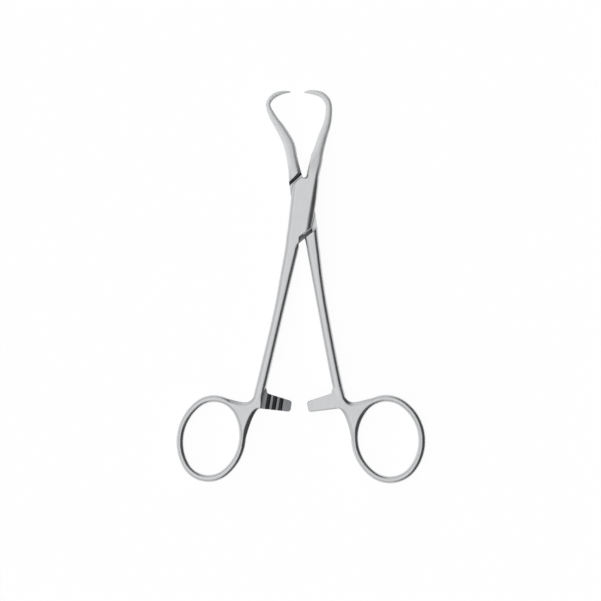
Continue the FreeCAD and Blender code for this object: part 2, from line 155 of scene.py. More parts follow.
tenonArm = {
    "side": rightSide,
    "blockWidth": lock["tenonWidth"],
    "jaw": [
        (-0.1077, 1.0026, 9, 0.125, 0.11),
        (-0.1821, 0.9949, 15, 0.33, 0.28),
        (-0.2487, 0.9692, 28, 0.45, 0.41),
        (-0.291, 0.9256, 58, 0.42, 0.48),
        (-0.3038, 0.8821, 90, 0.42, 0.50),
        (-0.2641, 0.7872, 121, 0.60, 0.57),
        (-0.1859, 0.6667, 118, 0.81, 0.70),
        (-0.1218, 0.541, 106, 0.97, 0.85),
        (-0.091, 0.4026, 98.5, 0.94, 1.0),
        (-0.0705, 0.2949, 96, 1.075, 1.17),
    ],
    "block": [
        (-0.1078, 0.4167, 95, 0.7, 1.0),
        (-0.049, 0.2353, 96, 0.88, 1.0),
        (0.0074, 0.0, 98, 1.0, 1.0),
        (0.0637, -0.2353, 98, 0.89, 1.0),
        (0.1225, -0.4167, 97, 0.7, 1.0),
    ],
    "shank": [
        (0.0454, -0.17, 98, 1.29, 1.54),
        (0.0557, -0.2403, 98.5, 1.23, 1.31),
        (0.0725, -0.3516, 99, 1.09, 1.17),
        (0.1011, -0.5201, 100, 1.0, 1.06),
        (0.1641, -0.8542, 101.5, 1.0, 1.0),
        (0.1912, -0.97, 103, 1.0, 0.87),
    ],
    "ringOut": 16.05,
    "ringDown": 13.1,
    "ringLean": -8.0,
    "ringHole": (20.4, 25.4),
    "barLength": 11.4,
}


# Materials
def linear(hexColour):
    channels = [int(hexColour[i:i + 2], 16) / 255 for i in (1, 3, 5)]
    return (*[c / 12.92 if c <= 0.04045 else ((c + 0.055) / 1.055) ** 2.4 for c in channels], 1.0)


def addNode(tree, kind, settings=None, inputs=None, links=None):
    node = tree.nodes.new(kind)
    for name, value in (settings or {}).items():
        setattr(node, name, value)
    for name, value in (inputs or {}).items():
        node.inputs[name].default_value = value
    for name, source in (links or {}).items():
        tree.links.new(source, node.inputs[name])
    return node


def multiplied(tree, a, b):
    node = addNode(tree, "ShaderNodeMix", {"data_type": "RGBA", "blend_type": "MULTIPLY"},
                   {"Factor": 1.0}, {"A": a, "B": b})
    return node.outputs["Result"]


steel = {
    "grainGloss": (-0.03, 0.04),  # how far the grain moves the roughness, down and up
    "grainStrength": 0.5,
    "cornerOpenness": (0.3, 0.85),  # where the painted corner shade is darkest, and where it is bright again
}


# One recipe for the three finishes of the steel. The grain runs along the arms and changes the
# gloss and, very slightly, the surface. Broad clouds shift the tone. Corners and hollows are
# darkened by ambient occlusion, a painted shade, and the jaws are more matt than the rest.
def steelFinish(name, finish):
    material = bpy.data.materials.new(name)
    material.use_nodes = True
    tree = material.node_tree
    shader = tree.nodes["Principled BSDF"]
    shader.inputs["Metallic"].default_value = 1.0
    place = addNode(tree, "ShaderNodeTexCoord")
    grainScale = 1 / (finish["grainWidth"] * mm)
    lie = addNode(tree, "ShaderNodeMapping", None,
                  {"Scale": (grainScale, grainScale / finish["grainStretch"], grainScale)},
                  {"Vector": place.outputs["Object"]})
    grain = addNode(tree, "ShaderNodeTexNoise", None,
                    {"Scale": 1.0, "Detail": 3.0, "Roughness": 0.6},
                    {"Vector": lie.outputs["Vector"]})
    cloudScale = 1 / (finish["cloudSize"] * mm)
    cloud = addNode(tree, "ShaderNodeTexNoise", None, {"Scale": cloudScale, "Detail": 2.0},
                    {"Vector": place.outputs["Object"]})
    tint = addNode(tree, "ShaderNodeMix", {"data_type": "RGBA"},
                   {"A": linear(finish["darkColour"]), "B": linear(finish["colour"])},
                   {"Factor": cloud.outputs["Fac"]})
    where = addNode(tree, "ShaderNodeSeparateXYZ", None, None, {"Vector": place.outputs["Object"]})
    mattShare = addNode(tree, "ShaderNodeMapRange", {"interpolation_type": "SMOOTHSTEP"},
                        {"From Min": finish["mattFrom"] * mm, "From Max": finish["mattTo"] * mm},
                        {"Value": where.outputs["Y"]})
    tone = addNode(tree, "ShaderNodeMix", {"data_type": "RGBA"},
                   {"B": linear(finish["mattColour"])},
                   {"Factor": mattShare.outputs["Result"], "A": tint.outputs["Result"]})
    # Painted shade: ambient occlusion darkens the colour in corners and hollows.
    corner = addNode(tree, "ShaderNodeAmbientOcclusion", {"samples": 8},
                     {"Distance": finish["cornerReach"] * mm})
    paintedCornerShade = addNode(tree, "ShaderNodeMapRange", None,
                   {"From Min": steel["cornerOpenness"][0], "From Max": steel["cornerOpenness"][1],
                    "To Min": finish["paintedShadeTone"], "To Max": 1.0},
                   {"Value": corner.outputs["AO"]})
    shade = multiplied(tree, tone.outputs["Result"], paintedCornerShade.outputs["Result"])
    matt = addNode(tree, "ShaderNodeMapRange", None,
                   {"To Min": finish["roughness"], "To Max": finish["mattRoughness"]},
                   {"Value": mattShare.outputs["Result"]})
    streak = addNode(tree, "ShaderNodeMapRange", None,
                     {"From Min": 0.3, "From Max": 0.7,
                      "To Min": steel["grainGloss"][0], "To Max": steel["grainGloss"][1]},
                     {"Value": grain.outputs["Fac"]})
    rough = addNode(tree, "ShaderNodeMath", {"operation": "ADD"}, None,
                    {0: matt.outputs["Result"], 1: streak.outputs["Result"]})
    bump = addNode(tree, "ShaderNodeBump", None,
                   {"Strength": steel["grainStrength"], "Distance": finish["grainDepth"] * mm},
                   {"Height": grain.outputs["Fac"]})
    tree.links.new(shade, shader.inputs["Base Color"])
    tree.links.new(rough.outputs[0], shader.inputs["Roughness"])
    tree.links.new(bump.outputs["Normal"], shader.inputs["Normal"])
    return material


# Satin brushed stainless steel: a soft grey sheen that goes dark where it turns to the side.
satinSteel = steelFinish("satinBrushedStainlessSteel", {
    "colour": "#D7D8D9",
    "darkColour": "#D1D2D4",
    "roughness": 0.3,
    "mattRoughness": 0.64,
    "mattColour": "#F3F4F5",
    "mattFrom": 8.0,  # mm up from the pin
    "mattTo": 16.0,
    "grainWidth": 0.25,  # mm; the real grain is about 0.05 mm, too fine to show
    "grainStretch": 40.0,
    "grainDepth": 0.0014,  # mm
    "cloudSize": 9.0,  # mm
    # the painted corner shade: its reach and its darkest tone
    "cornerReach": 1.4,  # mm
    "paintedShadeTone": 0.12,
})

# Milled steel that was never buffed, in the slots and between the teeth: rougher than the arms,
# and its dark grey is painted shade that sets the lock and the ratchet off from the bright arms.
milledSteelAndShade = steelFinish("milledSteelPaintedShade", {
    "colour": "#96979A",
    "darkColour": "#848588",
    "roughness": 0.38,
    "mattRoughness": 0.4,
    "mattColour": "#96979A",
    "mattFrom": 9.0,  # mm
    "mattTo": 22.0,
    "grainWidth": 0.3,  # mm; cutter marks
    "grainStretch": 12.0,
    "grainDepth": 0.006,  # mm
    "cloudSize": 3.0,  # mm
    # the painted corner shade: its reach and its darkest tone
    "cornerReach": 1.6,  # mm
    "paintedShadeTone": 0.12,
})

# Ground steel on the ends of the pin: cut flush with the box, a little smoother than the plates
# round it.
groundSteel = steelFinish("groundStainlessSteelPin", {
    "colour": "#D6D7D8",
    "darkColour": "#D2D3D5",
    "roughness": 0.29,
    "mattRoughness": 0.29,
    "mattColour": "#D6D7D8",
    "mattFrom": 9.0,  # mm
    "mattTo": 22.0,
    "grainWidth": 0.25,  # mm
    "grainStretch": 8.0,
    "grainDepth": 0.002,  # mm
    "cloudSize": 4.0,  # mm
    # the painted corner shade: its reach and its darkest tone
    "cornerReach": 0.9,  # mm
    "paintedShadeTone": 0.25,
})


def planWay(angle):
    return Vector((math.cos(math.radians(angle)), math.sin(math.radians(angle)), 0))


def addObject(name, data):
    obj = bpy.data.objects.new(name, data)
    bpy.context.scene.collection.objects.link(obj)
    return obj


def discard(obj):
    mesh = obj.data
    bpy.data.objects.remove(obj)
    bpy.data.meshes.remove(mesh)


def newObject(name, points, faces):
    mesh = bpy.data.meshes.new(name)
    mesh.from_pydata([tuple(p * mm) for p in points], [], faces)
    mesh.update()
    return addObject(name, mesh)


def faceOutwards(obj):
    work = bmesh.new()
    work.from_mesh(obj.data)
    bmesh.ops.recalc_face_normals(work, faces=work.faces)
    work.to_mesh(obj.data)
    work.free()


# Joins matching loops of points into a tube, closed end to end or capped.
def tubeObject(name, loops, endless):
    count = len(loops[0])
    points = [p for loop in loops for p in loop]
    faces = []
    for i in range(len(loops) if endless else len(loops) - 1):
        here = i * count
        after = ((i + 1) % len(loops)) * count
        for j in range(count):
            k = (j + 1) % count
            faces.append((here + j, here + k, after + k, after + j))
    if not endless:
        faces.append(tuple(reversed(range(count))))
        faces.append(tuple(range(len(points) - count, len(points))))
    obj = newObject(name, points, faces)
    faceOutwards(obj)
    return obj


# A flat outline given thickness from low to high. A second outline makes the high side another
# size.
def slabObject(name, outline, low, high, highOutline=None):
    bottom = [Vector((p[0], p[1], low)) for p in outline]
    top = [Vector((p[0], p[1], high)) for p in (highOutline or outline)]
    return tubeObject(name, [bottom, top], False)


# Rounds the corners of a plan outline: each corner is a point and its radius.
def roundedOutline(corners, steps=8):
    outline = []
    for i, (here, radius) in enumerate(corners):
        if radius <= 0:
            outline.append(here)
            continue
        toLast = (corners[i - 1][0] - here).normalized()
        toNext = (corners[(i + 1) % len(corners)][0] - here).normalized()
        halfAngle = toLast.angle(toNext) / 2
        hub = here + (toLast + toNext).normalized() * (radius / math.sin(halfAngle))
        start = here + toLast * (radius / math.tan(halfAngle)) - hub
        finish = here + toNext * (radius / math.tan(halfAngle)) - hub
        for step in range(steps + 1):
            outline.append(hub + start.slerp(finish, step / steps))
    return outline


def bezierPoints(a, b, c, d, steps=24):
    points = []
    for step in range(steps + 1):
        t = step / steps
        s = 1 - t
        points.append(a * s ** 3 + b * (3 * s * s * t) + c * (3 * s * t * t) + d * t ** 3)
    return points


# Arms: rows in millimetres, with closely spaced stations filled in between them on smooth curves.
def sized(rows, length, width, thickness):
    return [(length * x, length * y, heading, width * w, thickness * t)
            for x, y, heading, w, t in rows]


def stations(rows):
    lengths = [0.0]
    for last, following in zip(rows, rows[1:]):
        lengths.append(lengths[-1] + math.hypot(following[0] - last[0], following[1] - last[1]))
    table = np.array(rows, dtype=float)
    slopes = []
    for i in range(len(rows)):
        low, high = max(i - 1, 0), min(i + 1, len(rows) - 1)
        slopes.append((table[high] - table[low]) / (lengths[high] - lengths[low]))
    filled = []
    for i in range(len(rows) - 1):
        gap = lengths[i + 1] - lengths[i]
        turn = abs(rows[i + 1][2] - rows[i][2])
        steps = max(math.ceil(gap / forging["stationSpacing"]),
                    math.ceil(turn / forging["stationTurn"]))
        for step in range(steps):
            t = step / steps
            rise = t * t * (3 - 2 * t)
            row = table[i] + (table[i + 1] - table[i]) * rise
            filled.append(row + slopes[i] * gap * t * (1 - t) ** 2
                          - slopes[i + 1] * gap * t * t * (1 - t))
    return filled + [table[-1]]


def sectionLoop(row, cornerSteps=7):
    x, y, heading, width, thickness = row
    share = forging["edgeShare"]
    radius = min(forging["edgeRadius"], share * width, share * thickness)
    across = planWay(heading + 90)
    loop = []
    for wideSign, highSign, start in ((1, 1, 0), (-1, 1, 90), (-1, -1, 180), (1, -1, 270)):
        hub = Vector((x, y, middle)) + across * (wideSign * (width / 2 - radius))
        hub += up * (highSign * (thickness / 2 - radius))
        for step in range(cornerSteps + 1):
            angle = math.radians(start + 90 * step / cornerSteps)
            loop.append(hub + across * (radius * math.cos(angle))
                        + up * (radius * math.sin(angle)))
    return loop


def armTubes(arm):
    jaw = sized(arm["jaw"], forging["jawLength"],
                forging["jawRootWidth"], forging["jawRootThickness"])
    block = sized(arm["block"], lock["boxLength"], arm["blockWidth"], lock["boxThickness"])
    shank = sized(arm["shank"], forging["ratchetReach"],
                  forging["shankWidth"], forging["shankThickness"])
    runs = [jaw + block[:1], block, block[-1:] + shank]
    return [tubeObject("run", [sectionLoop(row) for row in stations(run)], False) for run in runs]


# Finger rings: a band of oval section along an oval of four arcs.
ringBand = {
    "width": 2.5,
    "thickness": 3.0,
    "drawnShare": 0.966,  # the solid's band is twelve-sided: its width across the flats
    "fullness": (2.15, 2.8),  # at the ring's ends, at its sides: 2 is oval, more is squarer
    "roll": 21.0,  # degrees; the bands lean a little to the right, most at the sides
    "endRoundness": 0.84,
    "pathSteps": 48,
    "bandSteps": 32,
}


def shankEnd(arm):
    x, y, heading = arm["shank"][-1][:3]
    end = Vector((x, y, 0)) * forging["ratchetReach"]
    return Vector((end.x, end.y, middle)), planWay(heading), planWay(heading + arm["side"] * 90)


def ringCentre(arm):
    end = shankEnd(arm)[0]
    return end + Vector((arm["side"] * arm["ringOut"], -arm["ringDown"], 0))


def bandSection(sideways):
    turn = math.radians(-ringBand["roll"] * sideways ** 3)
    endFullness, sideFullness = ringBand["fullness"]
    power = 2 / (endFullness + (sideFullness - endFullness) * sideways ** 2)
    bandWidth = ringBand["width"] * ringBand["drawnShare"]
    bandThickness = ringBand["thickness"] * ringBand["drawnShare"]
    section = []
    for side in range(ringBand["bandSteps"]):
        angle = 2 * math.pi * side / ringBand["bandSteps"]
        across, rise = math.cos(angle), math.sin(angle)
        across = math.copysign(abs(across) ** power, across) * bandWidth / 2
        rise = math.copysign(abs(rise) ** power, rise) * bandThickness / 2
        section.append((across * math.cos(turn) - rise * math.sin(turn),
                        across * math.sin(turn) + rise * math.cos(turn)))
    width = max(wide for wide, high in section) * 2
    fit = bandWidth / width  # a leaning band stays as wide
    return [(wide * fit, high * min(fit, 1)) for wide, high in section]


def ringTube(arm):
    hub = ringCentre(arm)
    along = planWay(90 - arm["ringLean"])
    across = planWay(-arm["ringLean"])
    halfWidth = (arm["ringHole"][0] + ringBand["width"]) / 2
    halfLength = (arm["ringHole"][1] + ringBand["width"]) / 2
    tight = ringBand["endRoundness"] * halfWidth
    slack = halfWidth ** 2 + halfLength ** 2 - 2 * halfLength * tight
    slack /= 2 * (halfWidth - tight)
    halfTurn = math.degrees(math.atan2(slack - halfWidth, halfLength - tight))
    quarters = [
        (hub + along * (halfLength - tight), tight, 90, halfTurn),
        (hub + across * (slack - halfWidth), slack, 180, 90 - halfTurn),
        (hub - along * (halfLength - tight), tight, 270, halfTurn),
        (hub - across * (slack - halfWidth), slack, 360, 90 - halfTurn),
    ]
    loops = []
    steps = ringBand["pathSteps"]
    for centre, radius, heading, reach in quarters:
        for step in range(steps):
            outward = planWay(heading - arm["ringLean"] - reach + 2 * reach * step / steps)
            section = bandSection(outward.x)
            loops.append([centre + outward * (radius + wide) + up * high
                          for wide, high in section])
    return tubeObject("ring", loops, True)


# Ratchet bars: a blank with rounded corners, toothed later.
bar = {
    "thickness": 1.45,  # its plain face is flush with the web
    "rootWidth": 5.1,
    "tipWidth": 3.6,
    "cornerRadius": 0.9,
    "crotchRadius": 1.6,
    "play": 0.05,
    "toothCount": 3,
    "toothPitch": 2.2,
    "toothRamp": 1.4,
    "toothDepth": 0.65,
    "tipLand": 2.8,  # plain metal between the tip and the first tooth
    "step": 1.25,  # from the middle of the shank to the step beside the toothed face
    "stepLap": (2.2, 0.3),  # how far the step runs past the bar, above and below
    "stepRunOut": 0.7,  # above the bar the step runs out of the shank by this much
    "grindDepth": 0.15,  # what is left on the toothed face for the mill to take off
    "chamfer": (0.5, 0.35),  # round the plain face: width, depth
}


def barFrame(arm):
    end = shankEnd(arm)[0]
    flat = Vector((end.x, end.y, 0))
    halfChord = math.asin(arm["barLength"] / (2 * flat.length))
    spread = math.atan2(end.x, -end.y) - arm["side"] * 2 * halfChord
    tip = Vector((math.sin(spread), -math.cos(spread), 0)) * forging["ratchetReach"] + up * middle
    inward = (end - tip).normalized()
    return tip, inward, Vector((inward.y, -inward.x, 0)) * arm["side"]


# Where two lines cross in plan.
def crossing(place, way, otherPlace, otherWay):
    gap = otherPlace - place
    turn = way.x * otherWay.y - way.y * otherWay.x
    return place + way * ((gap.x * otherWay.y - gap.y * otherWay.x) / turn)


web = {
    "thickness": 3.0,
    "bevelWidth": 0.95,  # at the ring
    "bevelSwell": 0.6,  # how much wider it is half way
    "bevelDrop": 0.6,
    "bevelFade": 0.6,  # below 1 the bevel opens up sooner beside the shank
    "rise": 5.0,  # how far up the shank it starts
    "rootShift": 0.5,  # the outer edge starts this far inside the shank
    "lap": 92.0,  # degrees of the ring that the web holds
    "inset": 0.4,  # its free edges end this far inside the ring's outer edge
    "ringLap": 2.2,  # its hidden edge lies half this outside the ring's hole
    "ringSteps": 16,
    "crownPull": 0.64,  # the pulls bow the free edges, as shares of their length
    "flankPull": 0.5,
    "barPull": 0.15,
    "blendRounds": 45,  # more smoothing where the web runs into shank and ring
    "rootBlend": 7.0,  # reach of that smoothing
    "ringBlend": 4.0,
}


def barOutline(arm, inset):
    end, upShank, inner = shankEnd(arm)
    tip, inward, down = barFrame(arm)
    lowTip = tip + inward * inset + down * (bar["tipWidth"] / 2 - inset)
    highTip = tip + inward * inset - down * (bar["tipWidth"] / 2 - inset)
    lowRoot = end + down * (bar["rootWidth"] / 2 - inset)
    highRoot = end - down * (bar["rootWidth"] / 2 - inset)
    edge = end + inner * (forging["shankWidth"] / 2 - inset)
    crotch = crossing(highTip, highRoot - highTip, edge, upShank)
    return roundedOutline([
        (lowRoot, 0),
        (lowTip, bar["cornerRadius"] - inset / 2),
        (highTip, bar["cornerRadius"] - inset / 2),
        (crotch, bar["crotchRadius"] + inset),
        (edge + upShank * web["rise"], 0),
        (end + upShank * web["rise"], 0),
    ])


def barSlab(arm):
    width, depth = bar["chamfer"]
    face = bar["play"] - bar["grindDepth"]
    back = bar["play"] + bar["thickness"]
    loops = []
    for inset, rise in ((0, face), (0, back - depth), (width, back)):
        height = middle + arm["side"] * rise
        loops.append([Vector((p.x, p.y, height)) for p in barOutline(arm, inset)])
    return tubeObject("bar", loops, False)


# Webs: the flat metal between shank, ring and bar, with two hollow free edges.
def ovalPoint(arm, growth, turn):
    hub = ringCentre(arm)
    along = planWay(90 - arm["ringLean"]) * ((arm["ringHole"][1] + growth) / 2)
    flank = planWay(180 - arm["ringLean"]) * ((arm["ringHole"][0] + growth) / 2)
    place = hub + along * math.cos(turn) + flank * math.sin(turn)
    way = flank * math.cos(turn) - along * math.sin(turn)
    return place, way.normalized()


# Moves a free edge of the web in by the width of its bevel: nothing at the shank, most half way.
def drawnIn(edge, side, ringFirst):
    last = len(edge) - 1
    moved = []
    for i, here in enumerate(edge):
        along = (edge[min(i + 1, last)] - edge[max(i - 1, 0)]).normalized()
        fromShank = (last - i if ringFirst else i) / last
        distance = web["bevelWidth"] * math.sin(math.pi / 2 * fromShank) ** web["bevelFade"]
        distance += web["bevelSwell"] * math.sin(math.pi * fromShank)
        moved.append(here + up.cross(along) * (side * distance))
    return moved


def webSlab(arm):
    side = arm["side"]
    end, upShank, inner = shankEnd(arm)
    tip, _, down = barFrame(arm)
    lowTip = tip + down * (bar["tipWidth"] / 2)
    lowRoot = end + down * (bar["rootWidth"] / 2)
    alongBar = (lowRoot - lowTip).normalized()
    outerGrowth = 2 * (ringBand["width"] - web["inset"])
    lap = side * math.radians(web["lap"])
    rootSide = inner * (forging["shankWidth"] / 2 - web["rootShift"])
    shoulder = end + upShank * web["rise"] - rootSide
    crown, crownWay = ovalPoint(arm, outerGrowth, 0)
    flank, flankWay = ovalPoint(arm, outerGrowth, lap)
    root = crossing(lowTip, alongBar, end + inner * (forging["shankWidth"] / 2), upShank)
    crownPull = web["crownPull"] * (shoulder - crown).length
    span = (root - flank).length
    upper = bezierPoints(shoulder, shoulder - upShank * crownPull,
                         crown + crownWay * side * crownPull, crown)
    lower = bezierPoints(flank, flank - flankWay * side * web["flankPull"] * span,
                         root + alongBar * web["barPull"] * span, root)
    steps = web["ringSteps"]
    alongRing = [ovalPoint(arm, web["ringLap"], lap * step / steps)[0]
                 for step in range(steps + 1)]
    heel = end + upShank + rootSide
    half = web["thickness"] / 2
    full = upper + alongRing + lower + [heel]
    drawn = drawnIn(upper, -side, False) + alongRing + drawnIn(lower, -side, True) + [heel]
    loops = []
    for plan, height in ((drawn, -half), (full, web["bevelDrop"] - half),
                         (full, half - web["bevelDrop"]), (drawn, half)):
        loops.append([Vector((p.x, p.y, middle + height)) for p in plan])
    return tubeObject("web", loops, False)


def evaluated(obj):
    depsgraph = bpy.context.evaluated_depsgraph_get()
    mesh = bpy.data.meshes.new_from_object(obj.evaluated_get(depsgraph))
    old = obj.data
    obj.modifiers.clear()
    obj.data = mesh
    bpy.data.meshes.remove(old)


def joined(name, pieces):
    work = bmesh.new()
    for piece in pieces:
        work.from_mesh(piece.data)
        discard(piece)
    mesh = bpy.data.meshes.new(name)
    work.to_mesh(mesh)
    work.free()
    return addObject(name, mesh)


# Evens out the forging's skin. Each round pulls the points in and then pushes them back out, so
# that creases blend and nothing gets thinner.
def smoothSkin(obj, weight, rounds):
    count = len(obj.data.vertices)
    place = np.empty(count * 3)
    obj.data.vertices.foreach_get("co", place)
    place = place.reshape(-1, 3)
    ends = np.empty(len(obj.data.edges) * 2, dtype=np.int64)
    obj.data.edges.foreach_get("vertices", ends)
    ends = ends.reshape(-1, 2)
    start, finish = np.concatenate([ends, ends[:, ::-1]]).T
    neighbours = np.bincount(start, minlength=count)
    share = weight(place / mm)[:, None]
    for _ in range(rounds):
        for pull in forging["skinPulls"]:
            sums = [np.bincount(start, place[finish, axis], count) for axis in range(3)]
            mean = np.stack(sums, axis=1) / neighbours[:, None]
            place += (mean - place) * share * pull
    place = np.clip(place, cadBounds[0], cadBounds[1])  # inside the solids' box
    obj.data.vertices.foreach_set("co", place.ravel())
    obj.data.update()


def forge(name, arm):
    obj = joined(name, armTubes(arm) + [ringTube(arm), webSlab(arm), barSlab(arm)])
    remesh = obj.modifiers.new("union", "REMESH")
    remesh.mode = "VOXEL"
    remesh.voxel_size = forging["voxel"] * mm
    evaluated(obj)
    point = np.array(arm["jaw"][0][:2]) * forging["jawLength"]

    def skinWeight(place):
        reach = np.hypot(place[:, 0] - point[0], place[:, 1] - point[1])
        return np.clip(reach / forging["pointLength"], forging["pointSmoothing"], 1.0)

    def webWeight(place):
        lap = arm["side"] * math.radians(web["lap"])
        weight = np.zeros(len(place))
        for spot, reach in ((shankEnd(arm)[0], web["rootBlend"]),
                            (ovalPoint(arm, 0, 0)[0], web["ringBlend"]),
                            (ovalPoint(arm, 0, lap)[0], web["ringBlend"])):
            away = np.hypot(place[:, 0] - spot.x, place[:, 1] - spot.y)
            fade = np.clip(2 - 2 * away / reach, 0.0, 1.0)  # full up to half the reach
            weight = np.maximum(weight, fade)
        return weight

    smoothSkin(obj, skinWeight, forging["smoothRounds"])
    smoothSkin(obj, webWeight, web["blendRounds"])
    print(name, "forged:", len(obj.data.polygons), "faces")
    return obj


# A cut that is left as milled: its faces take the second material, rough steel whose dark grey is
# painted shade.
def dullAndShaded(cutter):
    cutter.data.polygons.foreach_set("material_index", [1] * len(cutter.data.polygons))
    return cutter


# Milling: joins what is added to the forging, then takes each cutter out of it.
def mill(obj, cutters, added=()):
    # First the satin steel, then the rough milled steel whose dark grey is painted shade.
    obj.data.materials.append(satinSteel)
    obj.data.materials.append(milledSteelAndShade)
    tools = [*added, *cutters]
    for tool in tools:
        cut = obj.modifiers.new("mill", "BOOLEAN")
        cut.operation = "UNION" if tool in added else "DIFFERENCE"
        cut.solver = "MANIFOLD"
        cut.object = tool
    evaluated(obj)
    for tool in tools:
        discard(tool)


# The point at x on an edge of the lock: a line at a distance from the pin, with a slope. A shift
# moves the line away from the pin.
def linePoint(line, x, shift=0.0):
    reach, slope = line
    reach += shift if reach > 0 else -shift
    tilt = math.radians(slope)
    return Vector((x, (reach + x * math.sin(tilt)) / math.cos(tilt), 0))


# How far the cutting shapes run past the metal: sideways, right through, and at an open face.
cutSpan = 12.0
cutMargin = 1.0
cutLap = 0.2


# The crotches are cut right through. The one between the jaws is a little wider at the front.
def jawCrotchOutline(growth):
    tilt = math.radians(lock["upperEdge"][1])
    foot = Vector((*lock["jawCrotch"], 0))
    corner = foot + Vector((growth, -growth, 0))
    floorX = (corner.y * math.cos(tilt) - lock["upperEdge"][0] + growth) / math.sin(tilt)
    sideEnd = foot + planWay(lock["jawCrotchSlope"]) * lock["crotchLength"]
    return roundedOutline([
        (linePoint(lock["upperEdge"], -cutSpan, -growth), 0),
        (Vector((floorX, corner.y, 0)), 0),
        (corner, lock["crotchRadius"]),
        (sideEnd, 0),
        (Vector((-cutSpan, sideEnd.y, 0)), 0),
    ])


def shankCrotchOutline():
    corner = linePoint(lock["lowerEdge"], lock["shankCrotchX"])
    side = planWay(lock["shankCrotchSlope"]) * (-lock["crotchLength"] / 2)
    return roundedOutline([
        (linePoint(lock["lowerEdge"], cutSpan), 0),
        (corner, lock["crotchRadius"] / 2),
        (corner + side, 0),
        (Vector((cutSpan, corner.y + side.y, 0)), 0),
    ])


def crotchCutter(outline, frontOutline=None):
    return dullAndShaded(slabObject("crotch", outline, -cutMargin, lock["boxThickness"] + cutMargin,
                           frontOutline))


def roundCutter(name, radius, low, high, sides):
    outline = [planWay(360 * i / sides) * radius for i in range(sides)]
    return slabObject(name, outline, low, high)


def boreCutter(radius):
    return roundCutter("bore", radius, -cutMargin, lock["boxThickness"] + cutMargin,
                       lock["pinSides"])


def cheekOutline(shift):
    return [
        linePoint(lock["upperShoulder"], -cutSpan, shift),
        linePoint(lock["upperShoulder"], cutSpan, shift),
        linePoint(lock["lowerShoulder"], cutSpan, shift),
        linePoint(lock["lowerShoulder"], -cutSpan, shift),
    ]


def cheekCutters():
    inwards, outwards = lock["shoulderLean"]
    near = cheekOutline(-inwards)
    far = cheekOutline(outwards)
    front = slabObject("frontCheek", near, middle + tenonHalf, lock["boxThickness"] + cutLap, far)
    back = slabObject("backCheek", far, -cutLap, middle - tenonHalf, near)
    return [front, back]


def bevelCutter():
    along = planWay(lock["bevelHeading"])
    outward = planWay(lock["bevelHeading"] - 90)
    foot = Vector((lock["boxWidth"] / 2 - lock["bevelWidth"], 0, lock["boxThickness"]))
    foot -= along * lock["bevelDrop"]
    flat, steep = lock["bevelFall"]
    steps = lock["bevelSteps"]
    lower = [foot + up * cutMargin, foot]
    for step in range(steps + 1):
        run = lock["bevelWidth"] / steps if step < steps else cutSpan
        slope = math.radians(flat + (steep - flat) * min(step + 0.5, steps) / steps)
        lower.append(lower[-1] + outward * run - up * (run * math.tan(slope)))
    lower.append(Vector((lower[-1].x, lower[-1].y, foot.z + cutMargin)))
    upper = [p + along * (lock["bevelDrop"] + lock["bevelRise"]) for p in lower]
    return tubeObject("bevel", [lower, upper], False)


def heelSlab():
    left = linePoint((lock["heelReach"], lock["lowerEdge"][1]), lock["heelLeft"])
    right = linePoint((lock["heelReach"], lock["lowerEdge"][1]), lock["heelRight"])
    top = Vector((0, lock["heelTop"], 0))
    outline = [left, right, top + Vector((right.x, 0, 0)), top + Vector((left.x, 0, 0))]
    return slabObject("heel", outline, middle - tenonHalf, middle + tenonHalf)


def slotCutters():
    slotHalf = tenonHalf + lock["play"]
    low = middle - slotHalf
    high = middle + slotHalf
    sides = lock["slotSides"]
    lowerHalf = [planWay(180 + 360 * i / sides) * lock["heelSlotRadius"]
                 for i in range(sides // 2 + 1)]
    return [
        roundCutter("slot", lock["slotRadius"], low, high, sides),
        slabObject("heelSlot", lowerHalf, low, high),
    ]


# A groove along a line: its floor runs from one distance and height to another.
def grooveCutter(name, slope, left, right, near, far):
    clear = lock["boxThickness"] + cutLap
    loops = []
    for x in (left, right):
        loop = []
        for distance, height in (near, far, (far[0], clear), (near[0], clear)):
            place = linePoint((distance, slope), x)
            loop.append(Vector((place.x, place.y, height)))
        loops.append(loop)
    return dullAndShaded(tubeObject(name, loops, False))


# The dark line above and below the box is a groove at the foot of each shoulder, milled into the
# tenon's face, with painted shade from the milled material: the upper one slants, the lower one is
# flat.
groove = {
    "upper": (8.25, 9.35),  # distances from the pin
    "upperDepths": (0.55, -0.1),  # below the tenon's face, near the pin and away from it
    "upperSpan": (-8.0, 3.0),
    "lower": (7.6, 8.8),
    "lowerDepths": (0.9, 0.9),
    "lowerSpan": (-2.6, 3.2),
}


def shoulderGrooves():
    face = middle + tenonHalf
    cutters = []
    for name, edge, sign in (("upper", "upperEdge", 1), ("lower", "lowerEdge", -1)):
        near, far = [(sign * distance, face - depth)
                     for distance, depth in zip(groove[name], groove[name + "Depths"])]
        left, right = groove[name + "Span"]
        cutters.append(grooveCutter(name + "Groove", lock[edge][1], left, right, near, far))
    return cutters


def toothCutters(arm):
    tip, inward, down = barFrame(arm)
    crest = middle + arm["side"] * bar["play"]
    root = crest + arm["side"] * bar["toothDepth"]
    clear = crest - arm["side"] * cutMargin
    cutters = []
    for i in range(bar["toothCount"]):
        wall = bar["tipLand"] + i * bar["toothPitch"]
        ramp = wall + bar["toothRamp"]
        loops = []
        for reach in (-bar["rootWidth"], bar["rootWidth"]):
            base = tip + down * reach
            profile = [(wall, root), (ramp, crest), (ramp, clear), (wall, clear)]
            loops.append([Vector((*(base + inward * along).xy, height))
                          for along, height in profile])
        cutters.append(tubeObject("toothGap", loops, False))
    return cutters


